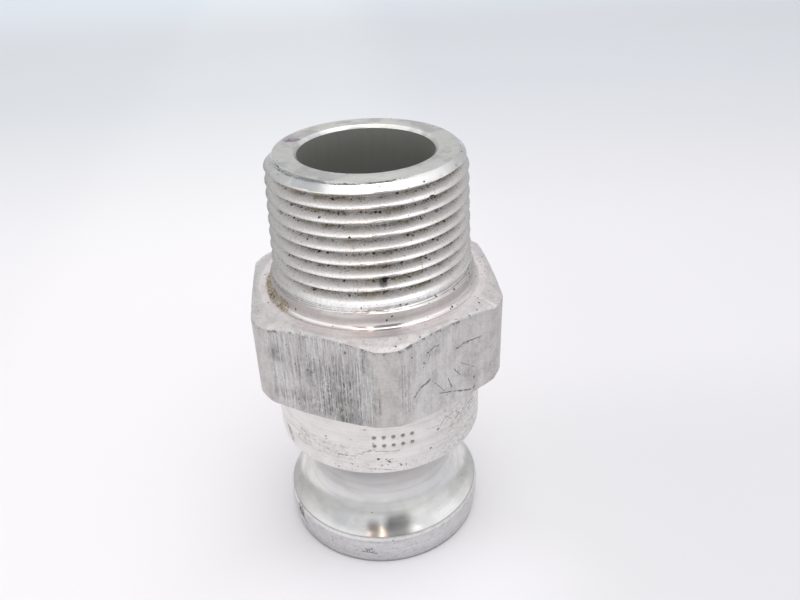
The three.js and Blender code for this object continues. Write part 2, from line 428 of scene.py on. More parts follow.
class Surface(Nodes):
    """One material: a colour, roughness, metalness and relief, built up layer by layer.

    Places are in millimetres from the middle of the gasket face: x, y, z, and round the axis
    `radius` and `angle`.
    """

    def __init__(self, name, colour, roughness):
        self.material = bpy.data.materials.new(name)
        self.material.use_nodes = True
        super().__init__(self.material.node_tree)
        self.tree.nodes.clear()
        place = self.stretched(self.add("ShaderNodeTexCoord").outputs["Object"], 1 / MM)
        self.x, self.y, self.z = self.add("ShaderNodeSeparateXYZ", {0: place}).outputs
        squares = self.fused(self.x, self.x, self.math("MULTIPLY", self.y, self.y))
        self.radius = self.math("SQRT", squares)
        self.angle = self.math("ARCTAN2", self.y, self.x)
        self.colour = self.add("ShaderNodeRGB").outputs[0]
        self.colour.default_value = (*colour, 1)
        self.roughness = self.value(roughness)
        self.metalness = self.value(1.0)
        self.height = self.value(0.0)

    def value(self, number):
        socket = self.add("ShaderNodeValue").outputs[0]
        socket.default_value = number
        return socket

    def math(self, operation, a, b=0.0, c=0.0):
        node = self.add("ShaderNodeMath", operation=operation)
        for socket, value in zip(node.inputs, (a, b, c)):
            self.feed(socket, value)
        return node.outputs[0]

    def fused(self, a, b, c):
        """a times b, plus c."""
        return self.math("MULTIPLY_ADD", a, b, c)

    def times(self, *factors):
        total = factors[0]
        for factor in factors[1:]:
            total = self.math("MULTIPLY", total, factor)
        return total

    def vector_math(self, operation, *inputs, output="Vector"):
        node = self.add("ShaderNodeVectorMath", dict(enumerate(inputs)), operation=operation)
        return node.outputs[output]

    def stretched(self, vector, scale):
        node = self.add("ShaderNodeVectorMath", {0: vector, "Scale": scale}, operation="SCALE")
        return node.outputs[0]

    def vector(self, x, y, z=0.0):
        return self.add("ShaderNodeCombineXYZ", {"X": x, "Y": y, "Z": z}).outputs[0]

    def scaled(self, scale):
        """The place, stretched by one factor, or by a factor along each axis."""
        x, y, z = scale if isinstance(scale, tuple) else (scale,) * 3
        return self.vector(self.times(self.x, x), self.times(self.y, y), self.times(self.z, z))

    def noise(self, scale, detail=3.0, roughness=0.55):
        """Noise of about one lump per unit of the place, stretched by `scale`."""
        return self.noise_at(self.scaled(scale), detail, roughness)

    def noise_at(self, vector, detail, roughness):
        return self.add("ShaderNodeTexNoise", {
            "Vector": vector, "Scale": 1.0, "Detail": detail, "Roughness": roughness,
        }).outputs["Fac"]

    def patches(self, scale, low, high, detail=3.0, roughness=0.55):
        """Noise turned to patches: 0 where it is under `low`, 1 where it is over `high`."""
        return self.ramp(self.noise(scale, detail, roughness), low, high)

    def ramp(self, value, low, high, to_low=0.0, to_high=1.0):
        return self.add("ShaderNodeMapRange", {
            "Value": value, "From Min": low, "From Max": high, "To Min": to_low, "To Max": to_high,
        }, interpolation_type="SMOOTHSTEP").outputs["Result"]

    def band(self, value, low, high, soft):
        """1 between low and high, falling to 0 over `soft` on each side."""
        up = self.ramp(value, low - soft, low + soft)
        return self.times(up, self.ramp(value, high - soft, high + soft, 1.0, 0.0))

    def sector(self, start, end, soft):
        """1 between two directions round the axis, in degrees, with edges soft by radians."""
        return self.band(self.angle, math.radians(start), math.radians(end), soft)

    def rings(self, fineness, lean, low, high):
        """Turning lines: patches that run round the axis and change quickly across it."""
        across = self.times(self.fused(self.radius, lean, self.z), fineness)
        lines = self.vector(self.times(self.x, 0.04), self.times(self.y, 0.04), across)
        return self.ramp(self.noise_at(lines, 4.0, 0.65), low, high)

    def specks(self, scale, chance, size):
        """Small ragged blots in a random few cells of a grid, `scale` cells to a millimetre."""
        vector = self.scaled(scale)
        noise = self.add("ShaderNodeTexNoise", {"Vector": vector, "Scale": 2.6, "Detail": 2.0})
        vector = self.vector_math("MULTIPLY_ADD", noise.outputs["Color"], (0.5, 0.5, 0.5), vector)
        cells = self.add("ShaderNodeTexVoronoi", {"Vector": vector, "Scale": 1.0})
        pick = self.add("ShaderNodeSeparateColor", {0: cells.outputs["Color"]}).outputs
        chosen = self.math("LESS_THAN", pick[0], chance)
        reach = self.fused(pick[1], size * 0.7, size * 0.3)
        inside = self.math("SUBTRACT", 1.0, self.math("DIVIDE", cells.outputs["Distance"], reach))
        return self.times(self.ramp(inside, 0.0, 0.35), chosen)

    def stroke(self, place, start, end, width):
        run = Vector((end[0] - start[0], end[1] - start[1], 0))
        from_start = self.vector_math("SUBTRACT", place, (*start, 0))
        done = self.vector_math("DOT_PRODUCT", from_start, run / run.length_squared, output="Value")
        done = self.add("ShaderNodeClamp", {0: done}).outputs[0]
        gap = self.vector_math("DISTANCE", from_start, self.stretched(run, done), output="Value")
        return self.ramp(gap, width * 0.35, width, 1.0, 0.0)

    def strokes(self, place, marks):
        """Scratches, each (along, up) of its start and of its end, and its width."""
        return self.joined([self.stroke(place, mark[:2], mark[2:4], mark[4]) for mark in marks])

    def unrolled(self, radius):
        """Distance round the axis from the front, measured at a radius."""
        return self.times(self.math("ADD", self.angle, math.pi / 2), radius)

    def shaken(self, along, scale, roughness, sideways, upwards):
        """The plane (along, up), pushed about by noise so that scratches on it are not straight."""
        shake = self.math("SUBTRACT", self.noise(scale, 3, roughness), 0.5)
        return self.vector(self.fused(shake, sideways, along),
                           self.fused(shake, upwards, self.z))

    def reach(self, place, centre, scale):
        """How far from a centre, with (along, up) stretched by the two factors of `scale`."""
        offset = self.vector_math("SUBTRACT", place, (*centre, 0))
        oval = self.vector_math("MULTIPLY", offset, (*scale, 0))
        return self.vector_math("LENGTH", oval, output="Value")

    def blot(self, place, centre, size):
        """A soft oval patch of that half width and half height on the plane of `place`."""
        return self.ramp(self.reach(place, centre, (1 / size[0], 1 / size[1])), 0.2, 1.0, 1.0, 0.0)

    def blots(self, place, marks):
        """Several blots, each (along, up, half width, half height) and its strength if not 1."""
        return self.joined([self.times(self.blot(place, mark[:2], mark[2:4]), *mark[4:])
                            for mark in marks])

    def joined(self, masks):
        """The largest of several masks."""
        total = masks[0]
        for mask in masks[1:]:
            total = self.math("MAXIMUM", total, mask)
        return total

    def mixed(self, factor, a, b):
        """From a, where the factor is 0, to b, where it is 1."""
        return self.add("ShaderNodeMix", {0: factor, 2: a, 3: b}, data_type="FLOAT").outputs[0]

    def tint(self, factor, colour, mode="MULTIPLY"):
        """Multiply the colour by another or by a grey, or replace it, where the factor is 1."""
        colour = colour if isinstance(colour, tuple) else (colour,) * 3
        mix = self.add("ShaderNodeMix", {0: factor, 6: self.colour, 7: (*colour, 1)},
                       data_type="RGBA", blend_type=mode)
        self.colour = mix.outputs[2]

    def stain(self, factor, colour, roughness, metalness):
        """Cover the metal with another colour, roughness and metalness where the factor is 1."""
        self.tint(factor, colour, "MIX")
        self.roughness = self.mixed(factor, self.roughness, roughness)
        self.metalness = self.mixed(factor, self.metalness, metalness)

    def peppered(self, stain, scale, chance, size, *where):
        """Stain with specks, as strongly as the masks and numbers in `where` allow."""
        self.stain(self.times(self.specks(scale, chance, size), *where), *stain)

    def vary(self, pattern, colour, roughness=0.0, height=0.0):
        """Let a pattern from 0 to 1 darken towards a colour, roughen, and raise the surface."""
        self.tint(pattern, colour)
        self.roughness = self.fused(pattern, roughness, self.roughness)
        self.height = self.fused(pattern, height, self.height)

    def finish(self, streaks=0.0, across=0.25):
        """Close the tree. `streaks` stretches the highlights, and `across` is the turn of the
        stretch: 0.25 lays it across the turning lines."""
        shader = self.add("ShaderNodeBsdfPrincipled", {
            "Base Color": self.colour, "Metallic": self.metalness, "Roughness": self.roughness,
            "Anisotropic": streaks, "Anisotropic Rotation": across,
        })
        relief = self.add("ShaderNodeBump", {"Height": self.height, "Distance": MM})
        self.feed(shader.inputs["Normal"], relief.outputs[0])
        if streaks:
            tangent = self.add("ShaderNodeTangent", direction_type="RADIAL", axis="Z")
            self.feed(shader.inputs["Tangent"], tangent.outputs[0])
        self.add("ShaderNodeOutputMaterial", {"Surface": shader.outputs[0]})
        return self.material


def end_face_metal():
    """Turned end face: dull clouds, a dab of faded ink, and a painted highlight on the back of the
    bevel round the bore.
    """
    m = Surface("end_face_turned", (0.80, 0.80, 0.785), 0.26)
    m.vary(m.rings(1.1, 1.0, 0.35, 0.7), (0.92, 0.92, 0.915), 0.06, 0.001)
    m.vary(m.patches(0.35, 0.42, 0.62, 4), (0.90, 0.895, 0.88), 0.10)
    m.tint(m.patches(0.22, 0.45, 0.60, 3, 0.6), (0.79, 0.80, 0.815))
    m.tint(m.times(m.patches(0.5, 0.50, 0.64, 3, 0.6), 0.8), (0.92, 0.925, 0.88))
    spread = m.reach(m.vector(m.x, m.y), (-11.6, 5.8), (0.72, 1.05))
    dab = m.times(m.ramp(spread, 1.35, 0.65), m.patches(1.2, 0.28, 0.44))
    m.stain(m.times(dab, 0.75), (0.30, 0.18, 0.33), 0.45, 0.4)
    flecks = m.patches(1.5, 0.48, 0.56, 3, 0.7)
    m.stain(m.times(dab, flecks, 0.85), (0.075, 0.06, 0.085), 0.5, 0.3)
    # Painted highlight on the back of the bevel round the bore.
    bevel = m.times(m.ramp(m.radius, 11.65, 11.5), m.ramp(m.y, 1.0, 6.0))
    m.tint(bevel, (1.22, 1.22, 1.24))
    m.peppered(SMUT, 1.4, 0.10, 0.42, m.ramp(m.radius, 13.6, 14.7))
    return m.finish(0.35)


def bore_metal():
    """Rough bore, darker towards its mouth."""
    m = Surface("bore_rough", (0.425, 0.43, 0.40), 0.6)
    m.metalness.default_value = BORE_METALNESS
    m.tint(m.ramp(m.z, 48, 72), 0.66)
    m.vary(m.patches((0.8, 0.8, 0.10), 0.4, 0.7), 0.97, 0.06, 0.002)
    m.peppered(((0.60, 0.60, 0.57), 0.5, BORE_METALNESS), (1.1, 1.1, 1.0), 0.10, 0.34, 0.35)
    return m.finish()


def thread_metal():
    """Cut thread: painted highlights on the front crests, dull on the -X side, dirt and painted
    shade in the roots, painted shade on the -X crests and towards +X.
    """
    m = Surface("thread_cut", (0.83, 0.818, 0.808), 0.17)
    depth = m.add("ShaderNodeAttribute", attribute_name="groove_depth").outputs["Fac"]
    inner = m.ramp(depth, 0.35, 0.9)
    dull = m.ramp(m.x, -10.0, -16.0)
    m.roughness = m.mixed(dull, m.roughness, 0.34)
    m.roughness = m.fused(m.ramp(depth, 0.08, 0.5), 0.15, m.roughness)
    # Painted shade: the flanks darken towards the roots, less on the dull -X side.
    m.tint(m.times(m.ramp(depth, 0.15, 1.0), m.mixed(dull, 0.9, 0.2)), (0.84, 0.835, 0.83))
    # Painted shade on the crests of the -X side.
    m.tint(m.times(dull, m.ramp(depth, 0.6, 0.0)), (0.74, 0.74, 0.73))
    # Painted highlight: crests brighter across the front.
    middle = m.times(m.ramp(m.x, -12.0, -7.0), m.ramp(m.x, 12.0, 6.0))
    m.tint(m.times(middle, m.ramp(depth, 0.5, 0.1)), (1.25, 1.255, 1.265))
    # Painted shade: darker towards +X.
    m.tint(m.ramp(m.x, 8.0, 13.0), (0.93, 0.92, 0.92))
    m.vary(m.patches((3.0, 3.0, 0.45), 0.42, 0.68), (0.90, 0.895, 0.89), 0.09, 0.002)
    m.vary(m.patches(5.0, 0.50, 0.66, 3, 0.7), 0.84, 0.10, 0.002)
    m.vary(m.rings(2.4, 0.0, 0.42, 0.7), (0.95, 0.945, 0.94), 0.04, 0.0015)
    cloud = m.noise((0.28, 0.28, 0.45), 4, 0.6)
    m.tint(m.times(m.ramp(cloud, 0.48, 0.66), inner, 0.75), (0.72, 0.67, 0.54))
    # Painted shade in the bottoms of the roots.
    m.tint(m.times(m.ramp(depth, 0.90, 1.0), m.mixed(dull, 0.5, 0.2)), (0.74, 0.735, 0.72))
    streaks = m.patches((6.0, 6.0, 0.35), 0.50, 0.64, 3, 0.7)
    streaked = m.times(streaks, m.ramp(depth, 0.25, 0.75), m.mixed(dull, 1.0, 0.4))
    m.tint(streaked, (0.82, 0.815, 0.80))
    crumbs = m.noise((1.9, 1.9, 2.4), 5, 0.75)
    caked = m.times(m.ramp(crumbs, 0.59, 0.66), m.ramp(cloud, 0.44, 0.58), inner, 0.75)
    m.stain(caked, OLIVE, 0.7, 0.3)
    black = m.noise((2.6, 2.6, 2.8), 3, 0.65)
    spots = m.times(m.patches(3.0, 0.53, 0.58, 3, 0.7),
                    m.patches((0.45, 0.45, 0.7), 0.42, 0.52, 3, 0.5))
    m.stain(m.times(spots, m.ramp(depth, 0.62, 0.84), 0.95), *DIRT)
    m.peppered(DIRT, (1.5, 1.5, 1.7), 0.24, 0.5, m.ramp(depth, 0.5, 0.75))
    m.peppered(DIRT, 1.0, 0.030, 0.32, 0.9)
    m.peppered(DIRT, 2.6, 0.14, 0.42, 0.55)
    place = m.vector(m.unrolled(NECK_RADIUS), m.z)
    lump = m.blots(place, (
        (0.6, 59.3, 0.95, 0.62), (0.8, 58.8, 0.6, 0.7), (-4.4, 66.2, 0.35, 0.4),
        (9.2, 70.9, 0.9, 0.35)))
    m.stain(m.ramp(m.fused(black, 0.9, lump), 0.62, 0.74), *DIRT)
    turned = m.math("SUBTRACT", m.angle, RUN_OUT_ANGLE)
    climbed = m.fused(turned, -PITCH / (2 * math.pi), m.z)
    lines = m.joined([m.band(climbed, h, h + 0.06, 0.06) for h in (53.96, 54.20, 54.44, 54.70)])
    m.stain(m.times(lines, m.patches(1.1, 0.36, 0.50, 4, 0.7), 0.92), (0.10, 0.095, 0.09), 0.6, 0.5)
    run_out_specks(m)
    # Painted shade at the foot of the thread, where it steps down to the neck.
    m.tint(m.ramp(m.z, NECK_TOP + 0.45, NECK_TOP + 0.35), (0.88, 0.87, 0.865))
    return m.finish(0.3)


def chamfer_metal():
    """Bevel at the end of the thread, painted brighter across the front and darker at both sides,
    and dull towards -X.
    """
    m = Surface("chamfer_turned", (0.80, 0.80, 0.80), 0.25)
    m.vary(m.rings(1.6, -0.6, 0.4, 0.7), 0.94, 0.06, 0.003)
    # Painted highlight across the front, and painted shade at both sides.
    m.tint(m.times(m.ramp(m.x, -9.0, -6.5), m.ramp(m.x, 13.0, 9.0)), 1.2)
    m.tint(m.joined([m.ramp(m.x, -9.0, -12.0), m.ramp(m.x, 11.0, 14.0)]), (0.94, 0.935, 0.94))
    edge = m.fused(m.math("SUBTRACT", m.noise(1.6, 4, 0.75), 0.5), 0.7, m.radius)
    gaps = m.patches(0.8, 0.40, 0.50, 4, 0.75)
    m.stain(m.times(m.band(edge, 14.76, 14.90, 0.05), m.sector(-165, -72, 0.15), gaps), *SMUT)
    m.peppered(DIRT, 1.3, 0.32, 0.5, m.ramp(m.radius, 15.8, 16.2))
    m.peppered(DIRT, 1.1, 0.07, 0.3)
    dull = m.times(m.sector(-175, -117, 0.12), m.patches(0.7, 0.36, 0.60, 3, 0.6))
    m.stain(m.times(dull, 0.5), (0.50, 0.515, 0.515), 0.4, 1.0)
    m.stain(m.times(m.sector(-137, -119, 0.12), 0.6), (0.40, 0.42, 0.43), 0.35, 1.0)
    m.peppered(DIRT, 1.5, 0.35, 0.45, m.sector(-40, 10, 0.2))
    return m.finish(0.3)


def caked_dirt(m):
    """Dried brown dirt in the corner between the neck and the hexagon, on the -X side."""
    place = m.vector(m.x, m.y)
    spread = m.blots(place, (
        (-17.7, 0.6, 2.6, 4.4), (-17.0, -4.6, 2.6, 4.0), (-15.4, -8.6, 2.2, 3.0)))
    corner = m.times(spread, m.band(m.radius, 17.1, 18.35, 0.25), m.ramp(m.z, 53.2, 52.6))
    crumbs = m.noise(2.2, 4, 0.75)
    m.stain(m.times(m.ramp(crumbs, 0.34, 0.52), corner, 0.75), (0.36, 0.30, 0.18), 0.8, 0.3)
    m.stain(m.times(m.ramp(crumbs, 0.54, 0.58), corner), (0.16, 0.09, 0.045), 0.8, 0.2)
    m.peppered((GRIME, 0.8, 0.1), 2.2, 0.30, 0.42, spread, 0.9)


def run_out_specks(m):
    """Dark specks where the thread runs out, on the +X side."""
    place = m.times(m.band(m.z, 53.1, 54.7, 0.3), m.ramp(m.x, 3.0, 9.0))
    m.peppered(DIRT, 1.5, 0.38, 0.42, place, 0.9)


def neck_metal():
    """Turned neck, with a polished line low in its fillet that is painted brighter as a highlight,
    and painted shade on the fillet on the -X side.
    """
    m = Surface("neck_turned", (0.83, 0.795, 0.785), 0.13)
    m.tint(m.ramp(m.z, HEX_TOP + 0.8, HEX_TOP + 1.3), (0.81, 0.80, 0.80))
    fillet = m.ramp(m.z, HEX_TOP + NECK_FILLET + 0.3, HEX_TOP + NECK_FILLET - 0.1)
    front = m.sector(-132, -45, 0.3)
    bright = m.joined([front, m.times(fillet, m.sector(-150, -28, 0.15))])
    m.roughness = m.mixed(bright, 0.44, m.roughness)
    m.tint(m.math("SUBTRACT", 1.0, bright), (0.84, 0.845, 0.84))
    # Painted shade on the fillet on the -X side.
    left = m.ramp(m.x, -2.0, -8.0)
    m.tint(m.times(left, fillet), (0.84, 0.83, 0.825))
    # A polished line low in the fillet: smoother, and painted brighter as a highlight, most on the
    # -X side.
    line = m.band(m.z, HEX_TOP + 0.15, HEX_TOP + 0.42, 0.08)
    polished = m.times(m.ramp(m.x, 14.0, 8.0), bright, line)
    m.tint(polished, (1.3, 1.32, 1.34))
    m.tint(m.times(left, polished), 1.1)
    m.roughness = m.mixed(polished, m.roughness, 0.08)
    m.vary(m.rings(1.5, 0.5, 0.4, 0.7), (0.93, 0.92, 0.91), 0.05, 0.0015)
    m.vary(m.patches((0.5, 0.5, 1.0), 0.45, 0.7, 4), (0.92, 0.91, 0.90), 0.10)
    m.peppered(DIRT, (1.3, 1.3, 1.4), 0.08, 0.40)
    run_out_specks(m)
    m.peppered(DIRT, 1.7, 0.25, 0.4, m.band(m.z, HEX_TOP - 0.1, HEX_TOP + 0.5, 0.2))
    caked_dirt(m)
    return m.finish(0.4)


def hexagon_end_metal():
    """Turned ends of the hexagon, gritty towards the edge, with dirt beside the neck and a painted
    sheen on the inner rings.
    """
    m = Surface("hexagon_end_turned", (0.768, 0.75, 0.755), 0.24)
    outer = m.ramp(m.radius, 19.8, 20.5)
    front = m.sector(-140, -45, 0.3)
    m.roughness = m.math("ADD", m.roughness, m.mixed(outer, m.mixed(front, 0.20, 0.0), 0.34))
    m.roughness = m.fused(m.ramp(m.radius, 20.2, 19.2), 0.10, m.roughness)
    # Painted sheen: brighter within 20 mm of the axis, on the inner rings of both ends.
    m.tint(m.ramp(m.radius, 20.0, 19.2), (1.17, 1.14, 1.15))
    m.vary(m.rings(1.3, 1.2, 0.4, 0.7), (0.94, 0.935, 0.93), 0.05, 0.002)
    m.vary(m.patches(0.45, 0.42, 0.66, 4, 0.65), (0.91, 0.905, 0.89), 0.08)
    grit = m.patches(2.6, 0.56, 0.66, 3, 0.7)
    m.stain(m.times(grit, 0.30, m.ramp(m.radius, 18.6, 20.2)), (0.25, 0.245, 0.235), 0.6, 0.7)
    m.peppered(DIRT, 1.3, 0.10, 0.34, 0.85)
    m.tint(m.ramp(m.radius, 21.2, 22.3), (1.08, 1.075, 1.08))
    m.tint(m.ramp(m.x, 6.0, 12.0), (0.955, 0.95, 0.955))
    caked_dirt(m)
    m.vary(m.patches(1.1, 0.46, 0.62, 4, 0.7), (0.93, 0.925, 0.925), 0.05, 0.003)
    m.peppered(SMUT, 1.2, 0.10, 0.30, 0.8)
    return m.finish(0.35)


def flats_metal():
    """Milled flats: upright brushing, smears on the left front flat, scratches on the right, whose
    flat is painted lighter, and burrs painted as bright glints along the top rim.
    """
    m = Surface("hexagon_milled", (0.68, 0.667, 0.667), 0.42)
    corner = m.ramp(m.radius, 22.45, 22.74)
    flat = m.math("SUBTRACT", 1.0, corner)
    sin, cos = 0.5, 0.866  # of the 30 degrees that the front flats turn away
    near, reached = 20.3, 20.5  # distances from the axis, square to a front flat
    left_face = m.ramp(m.fused(m.x, -sin, m.times(m.y, -cos)), near, reached)
    right_face = m.ramp(m.fused(m.x, sin, m.times(m.y, -cos)), near, reached)
    milled = m.times(flat, m.fused(right_face, -0.7, 1.0))
    brushed = m.patches((3.4, 3.4, 0.07), 0.44, 0.64, 4, 0.7)
    m.vary(m.times(brushed, milled), (0.84, 0.84, 0.85), 0.08, -0.008)
    fine = m.noise((6.5, 6.5, 0.22), 3, 0.7)
    m.vary(m.times(m.ramp(fine, 0.46, 0.62), milled), (0.76, 0.765, 0.76), 0.04, -0.006)
    m.tint(m.times(m.ramp(fine, 0.45, 0.32), milled, 0.75), (0.83, 0.83, 0.85), "MIX")
    m.tint(m.times(m.patches((0.42, 0.42, 0.02), 0.45, 0.62, 2, 0.5), flat), (0.92, 0.90, 0.895))
    cloud = m.noise((0.45, 0.45, 0.32), 5, 0.7)
    m.vary(m.ramp(cloud, 0.42, 0.65), (0.84, 0.845, 0.84), 0.06)
    m.vary(m.patches(2.2, 0.48, 0.64, 4, 0.75), (0.88, 0.88, 0.875), 0.05, 0.004)
    m.vary(m.times(m.rings(1.8, 0.0, 0.4, 0.7), corner), (0.96, 0.955, 0.95), 0.03, 0.001)

    left = m.vector(m.fused(m.x, cos, m.times(m.y, -sin)), m.z)
    right_along = m.fused(m.x, cos, m.times(m.y, sin))
    right = m.shaken(right_along, 0.7, 0.6, 0.8, -0.8)
    upright = m.patches((4.2, 4.2, 0.05), 0.40, 0.60, 4, 0.7)
    smear = m.times(upright, m.patches((1.5, 1.5, 0.9), 0.38, 0.58, 5, 0.75))
    worn = m.blots(left, (
        (3.2, 42.0, 7.0, 9.0), (2.0, 38.0, 9.0, 4.4), (-7.6, 46.3, 2.6, 2.6, 0.9),
        (7.5, 47.5, 2.2, 3.0, 0.8), (-2.5, 44.5, 3.6, 4.0, 0.8), (-6.5, 38.6, 4.5, 1.8, 0.7),
        (9.6, 41.0, 1.4, 6.0, 0.7), (3.2, 36.8, 6.0, 2.4)))
    broad = m.patches((0.9, 0.9, 0.12), 0.47, 0.60, 4, 0.65)
    m.stain(m.times(broad, worn, left_face, 0.46), (0.28, 0.28, 0.275), 0.55, 0.7)
    foot = m.times(m.blot(left, (3.2, 36.4), (6.5, 2.2)), m.ramp(cloud, 0.36, 0.52))
    m.stain(m.times(foot, left_face, 0.42), (0.24, 0.24, 0.235), 0.55, 0.7)
    m.stain(m.times(smear, worn, left_face, 0.95), (0.13, 0.13, 0.12), 0.6, 0.6)
    m.tint(corner, (0.89, 0.87, 0.86))
    # Painted light: the right front flat is painted lighter than the left.
    m.tint(right_face, (1.06, 1.055, 1.05))
    smudged = m.blots(right, (
        (-9.1, 44.0, 1.4, 7.5), (-8.4, 39.2, 1.8, 2.6), (3.8, 40.0, 1.8, 1.5, 0.8),
        (-3.6, 48.0, 2.4, 2.4, 0.7)))
    m.stain(m.times(smear, smudged, right_face, 0.7), (0.16, 0.16, 0.155), 0.6, 0.6)
    scratches = m.strokes(right, (
        (1.2, 46.2, 3.8, 46.4, 0.32), (3.8, 46.4, 6.6, 46.2, 0.20),
        (-7.3, 40.6, -6.0, 41.9, 0.22), (-6.0, 41.9, -4.2, 42.6, 0.32),
        (-4.2, 42.6, -2.8, 41.0, 0.10), (-2.8, 41.0, -1.2, 38.9, 0.10),
        (-2.4, 39.0, 1.0, 37.9, 0.13), (1.0, 37.9, 4.4, 36.5, 0.24),
        (-0.4, 41.0, 0.4, 38.9, 0.17), (0.7, 42.5, 2.1, 40.6, 0.13), (2.0, 43.1, 5.2, 40.8, 0.07),
        (-4.6, 47.9, -2.4, 48.5, 0.15), (-5.4, 45.4, -3.6, 48.2, 0.09)))
    broken = m.patches(1.7, 0.34, 0.56, 3, 0.7)
    m.stain(m.times(scratches, broken, right_face, 0.7), GRIME, 0.6, 0.4)
    m.height = m.fused(m.times(scratches, right_face), -0.03, m.height)
    m.peppered(SMUT, (1.0, 1.0, 0.8), 0.07, 0.28, 0.7)

    fall = m.times(m.math("SUBTRACT", m.radius, HEX_FACE_RADIUS), HEX_CHAMFER_SLOPE)
    top_gap = m.math("SUBTRACT", m.math("SUBTRACT", HEX_TOP, fall), m.z)
    rim = m.ramp(top_gap, 0.2, 0.9, 1.0, 0.0)
    chips = m.patches(1.3, 0.50, 0.58, 4, 0.75)
    chipped = m.times(rim, chips, m.ramp(m.x, 16.0, 10.0, 0.25, 1.0), 0.75)
    m.stain(chipped, (0.06, 0.06, 0.055), 0.6, 0.4)
    # Burrs along the top rim at both sides, painted bright as glints.
    burrs = m.patches(2.6, 0.52, 0.58, 4, 0.75)
    outer = m.joined([m.ramp(m.x, -6.0, -12.0), m.ramp(m.x, 11.0, 15.0)])
    bright = m.times(m.ramp(top_gap, 0.34, 0.18), burrs, outer, 0.9)
    m.stain(bright, 0.95, 0.3, 1.0)
    return m.finish(0.5, 0.0)


def collar_metal():
    """Turned collar with scuffs, scratches and pits, dark inside the punch marks."""
    m = Surface("collar_turned", (0.815, 0.797, 0.787), 0.32)
    m.vary(m.rings(1.4, 0.0, 0.42, 0.68), (0.92, 0.915, 0.91), 0.06, 0.004)
    m.vary(m.patches((0.3, 0.3, 0.5), 0.42, 0.66, 4), (0.94, 0.93, 0.925), 0.08)
    along = m.unrolled(CAM_RADIUS)
    scuffed = m.patches((1.3, 1.3, 1.8), 0.46, 0.62, 5, 0.75)
    m.tint(m.ramp(m.x, 4.0, 15.0), (0.95, 0.95, 0.94))
    m.vary(m.times(scuffed, m.ramp(m.x, 5.0, 12.0)), 0.80, 0.10, 0.006)
    m.vary(m.times(scuffed, m.ramp(m.z, 26.5, 24.0)), 0.90, 0.05, 0.004)
    place = m.shaken(along, 0.9, 0.7, 1.6, -0.9)
    scratches = m.strokes(place, (
        (-21.5, 25.7, -20.5, 23.9, 0.95), (-17.6, 27.4, -15.6, 26.6, 0.12),
        (-16.9, 28.6, -15.2, 27.9, 0.10), (-17.2, 29.6, -16.4, 28.2, 0.10),
        (-11.4, 26.8, -9.0, 26.2, 0.14), (-9.0, 26.2, -6.9, 26.3, 0.22),
        (-6.6, 26.2, -4.8, 27.0, 0.18), (-4.6, 27.3, -2.6, 27.9, 0.18),
        (-2.4, 27.6, 1.6, 27.4, 0.12), (6.6, 30.4, 8.6, 30.3, 0.15),
        (9.2, 30.1, 10.8, 31.2, 0.14), (10.0, 29.6, 12.2, 31.4, 0.10),
        (10.4, 31.6, 12.0, 30.0, 0.09), (12.7, 29.6, 15.2, 30.4, 0.14),
        (13.5, 28.6, 16.8, 30.6, 0.10), (12.9, 31.2, 14.6, 29.4, 0.10),
        (15.6, 31.0, 18.9, 29.9, 0.13), (17.0, 28.6, 20.0, 30.4, 0.13),
        (16.2, 32.0, 19.6, 31.0, 0.12), (18.4, 28.0, 20.8, 29.0, 0.16),
        (-1.9, 33.1, -0.6, 33.6, 0.13), (-1.6, 33.7, -0.9, 33.0, 0.10),
        (-4.3, 23.9, 1.2, 23.2, 0.10), (-2.2, 25.9, -1.6, 26.3, 0.22),
        (-0.8, 25.3, 0.4, 25.7, 0.12), (-0.4, 24.9, 0.7, 25.2, 0.12)))
    broken = m.patches(2.2, 0.42, 0.54, 3, 0.7)
    patch = m.blot(place, (15.8, 30.2), (6.5, 2.0))
    m.stain(m.times(scuffed, patch, 0.65), (0.38, 0.375, 0.37), 0.5, 0.7)
    m.stain(m.times(scratches, broken, 0.62), (0.12, 0.115, 0.11), 0.6, 0.4)
    m.height = m.fused(scratches, -0.04, m.height)
    pits = m.blots(place, (
        (-2.1, 25.9, 0.42, 0.34), (-0.8, 25.8, 0.32, 0.26), (-0.3, 25.2, 0.36, 0.24),
        (7.4, 25.9, 0.28, 0.26)))
    m.stain(m.times(m.ramp(pits, 0.2, 0.5), 0.9), GRIME, 0.6, 0.3)
    row = m.times(m.band(m.z, 28.4, 29.9, 0.2), m.band(along, -13.0, -5.0, 1.0))
    m.peppered(((0.16, 0.155, 0.15), 0.6, 0.5), 1.6, 0.4, 0.46, row, 0.7)
    worn = m.times(scuffed, m.band(m.z, 25.4, 28.6, 0.6), m.band(along, -17.0, -5.0, 1.5), 0.45)
    m.stain(worn, (0.36, 0.35, 0.34), 0.5, 0.7)
    m.peppered(((0.09, 0.085, 0.08), 0.6, 0.3), (0.8, 0.8, 0.9), 0.10, 0.26, 0.7)
    foot = m.times(m.band(m.z, 23.2, 24.6, 0.2), m.band(along, -10.0, 4.0, 1.5))
    m.peppered(((0.12, 0.115, 0.11), 0.6, 0.5), 1.8, 0.5, 0.5, foot, 0.85)
    lines = m.joined([m.band(m.z, h, h + 0.06, 0.06) for h in (32.7, 33.15, 24.7)])
    m.stain(m.times(lines, m.patches(0.3, 0.35, 0.55), 0.35), (0.30, 0.28, 0.27), 0.5, 0.8)
    grain = m.patches((2.4, 2.4, 3.2), 0.56, 0.68, 4, 0.8)
    m.stain(m.times(grain, 0.22), (0.35, 0.34, 0.33), 0.5, 0.8)
    sunk = m.ramp(m.radius, CAM_RADIUS - 0.02, CAM_RADIUS - 0.18)
    m.stain(m.times(sunk, 0.72), (0.20, 0.195, 0.185), 0.5, 0.6)
    return m.finish(0.45)


